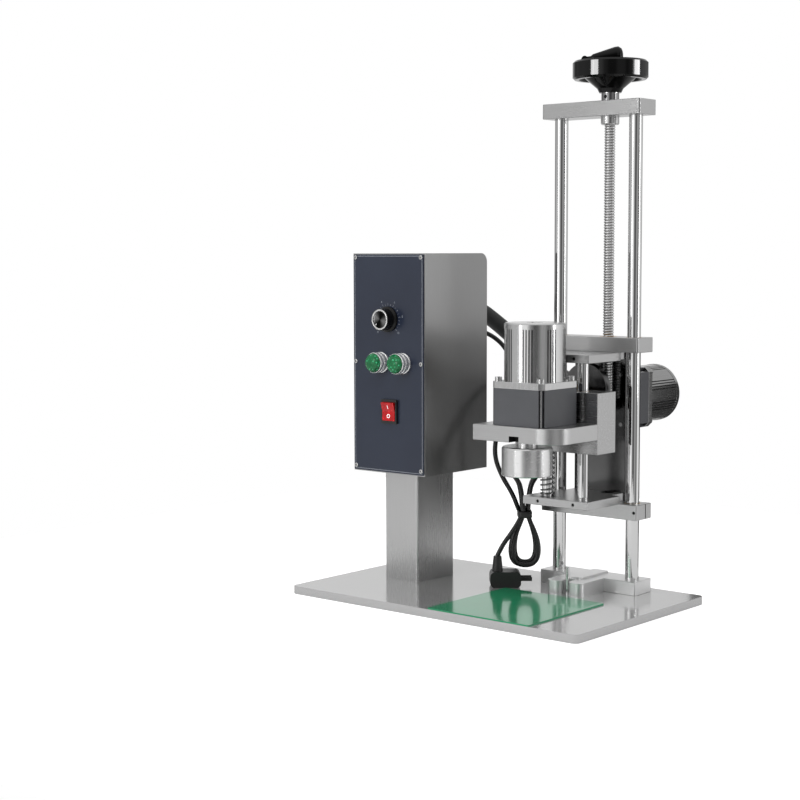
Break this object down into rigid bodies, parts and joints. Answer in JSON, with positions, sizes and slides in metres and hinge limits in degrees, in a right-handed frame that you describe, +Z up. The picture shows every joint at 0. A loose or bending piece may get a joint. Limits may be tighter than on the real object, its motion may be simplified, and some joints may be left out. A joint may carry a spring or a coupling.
{
  "type": "bottle capping machine",
  "caption": "Bench capping machine: a motor-driven chuck on a crank-pressed head slides on two columns, set by a handwheel and lead screw, with a control box on a post.",
  "frame": {"origin": "centre of the base plate's underside", "axes": "+X to the right along the plate as the operator faces the panel, +Y to the back, +Z up"},
  "size_m": [0.52, 0.452, 0.8067],
  "materials": {
    "polished_steel": "fine ground and polished, semi-mirror",
    "green_sheet": "thin glossy green sheet",
    "plated_steel": "bright zinc plated",
    "chromed_rod": "hard chromed and ground",
    "chromed_metal": "bright chrome",
    "satin_steel": "satin stainless steel",
    "brushed_sheet": "brushed stainless sheet",
    "panel_film": "dark blue-grey glossy face",
    "black_plastic": "black moulded",
    "black_rubber": "black sheath",
    "bronze": "plain bearing bronze",
    "black_steel": "blackened steel",
    "dark_steel": "dark reflective steel",
    "spring_steel": "drawn and turned steel",
    "gearbox_grey": "dark grey die casting",
    "motor_aluminium": "turned and grooved aluminium",
    "liner_rubber": "moulded rubber",
    "black_gloss": "polished black moulding",
    "green_lens": "translucent green",
    "red_lens": "translucent red"
  },
  "bodies": {
    "root": {"base_plate": "polished_steel", "green_mat": "green_sheet", "column_base_bar": "polished_steel", "frame_screws": "plated_steel", "left_column": "chromed_rod", "right_column": "chromed_rod", "top_crossbar": "polished_steel", "screw_bearing_bush": "plated_steel", "post": "satin_steel", "control_box_shell": "brushed_sheet", "front_panel": "panel_film", "panel_screws": "plated_steel", "button_bezels": "chromed_metal", "switch_frame": "black_plastic", "speed_potentiometer": "plated_steel", "speed_controller": "black_plastic", "run_capacitor": "black_plastic", "terminal_block": "black_plastic", "cable_glands": "black_plastic", "motor_conduit": "black_rubber", "power_cord_feed": "black_rubber", "cord_hank": "black_rubber", "power_cord_tail": "black_rubber", "power_plug": "black_plastic", "locator_block": "polished_steel", "locator_pin": "chromed_rod"},
    "lift": {"upper_lift_bar": "polished_steel", "lower_lift_bar": "polished_steel", "column_bushes": "bronze", "lift_nut": "bronze", "lift_screws": "black_steel", "lift_back_plate": "dark_steel", "rod_top_plate": "polished_steel", "rod_bottom_plate": "polished_steel", "guide_rods": "chromed_rod", "return_spring": "spring_steel", "press_gearbox": "gearbox_grey", "press_motor": "motor_aluminium", "press_gearbox_screws": "plated_steel", "press_motor_gland": "black_plastic"},
    "head": {"sliding_block": "satin_steel", "rod_bushes": "bronze", "follower_bar": "dark_steel", "motor_plate": "polished_steel", "motor_plate_screws": "black_steel", "cap_gearbox": "gearbox_grey", "cap_motor": "motor_aluminium", "cap_gearbox_screws": "plated_steel"},
    "chuck": {"chuck_body": "motor_aluminium", "chuck_liner": "liner_rubber"},
    "crank": {"crank_disc": "dark_steel"},
    "roller": {"crank_roller": "bronze"},
    "screw": {"lead_screw": "spring_steel", "thrust_collar": "black_steel", "handwheel": "black_gloss"},
    "handle": {"folding_handle": "black_gloss"},
    "knob": {"speed_knob": "black_plastic"},
    "start": {"start_button": "green_lens"},
    "stop": {"stop_button": "green_lens"},
    "rocker": {"rocker": "red_lens"}
  },
  "joints": [
    {"name": "screw_turn", "type": "hinge", "parent": "root", "child": "screw", "pos_m": [0.1185, 0.12, 0.6], "axis": [0, 0, 1], "range_deg": [-27001, 5401]},
    {"name": "lift_slide", "type": "slide", "parent": "root", "child": "lift", "axis": [0, 0, 1], "range_m": [-0.06, 0.3], "deforming": ["motor_conduit"]},
    {"name": "head_slide", "type": "slide", "parent": "lift", "child": "head", "axis": [0, 0, 1], "range_m": [-0.022, 0.022], "deforming": ["return_spring"]},
    {"name": "crank_turn", "type": "hinge", "parent": "lift", "child": "crank", "pos_m": [0.098, 0.1, 0.313], "axis": [0, 1, 0], "range_deg": [-90.1, 90.1]},
    {"name": "roller_spin", "type": "hinge", "parent": "crank", "child": "roller", "pos_m": [0.076, 0.08, 0.313], "axis": [0, 1, 0], "continuous": true},
    {"name": "chuck_spin", "type": "hinge", "parent": "head", "child": "chuck", "pos_m": [0.098, -0.054, 0.22], "axis": [0, 0, 1], "continuous": true},
    {"name": "handle_fold", "type": "hinge", "parent": "screw", "child": "handle", "pos_m": [0.09108, 0.09667, 0.791], "axis": [-0.6481, 0.7615, 0], "range_deg": [-100, 0]},
    {"name": "knob_turn", "type": "hinge", "parent": "root", "child": "knob", "pos_m": [-0.15, -0.07, 0.414], "axis": [0, 1, 0], "range_deg": [0, 270]},
    {"name": "start_press", "type": "slide", "parent": "root", "child": "start", "axis": [0, 1, 0], "range_m": [0, 0.004], "stiffness_N_per_m": 600},
    {"name": "stop_press", "type": "slide", "parent": "root", "child": "stop", "axis": [0, 1, 0], "range_m": [0, 0.004], "stiffness_N_per_m": 600},
    {"name": "rocker_tilt", "type": "hinge", "parent": "root", "child": "rocker", "pos_m": [-0.146, -0.07, 0.276], "axis": [1, 0, 0], "range_deg": [-16, 0]}
  ],
  "couplings": [
    {"joint": "screw_turn", "follows": "lift_slide", "rad_per_m": -1570.8},
    {"joint": "crank_turn", "follows": "head_slide", "rad_per_m": 71.4}
  ]
}
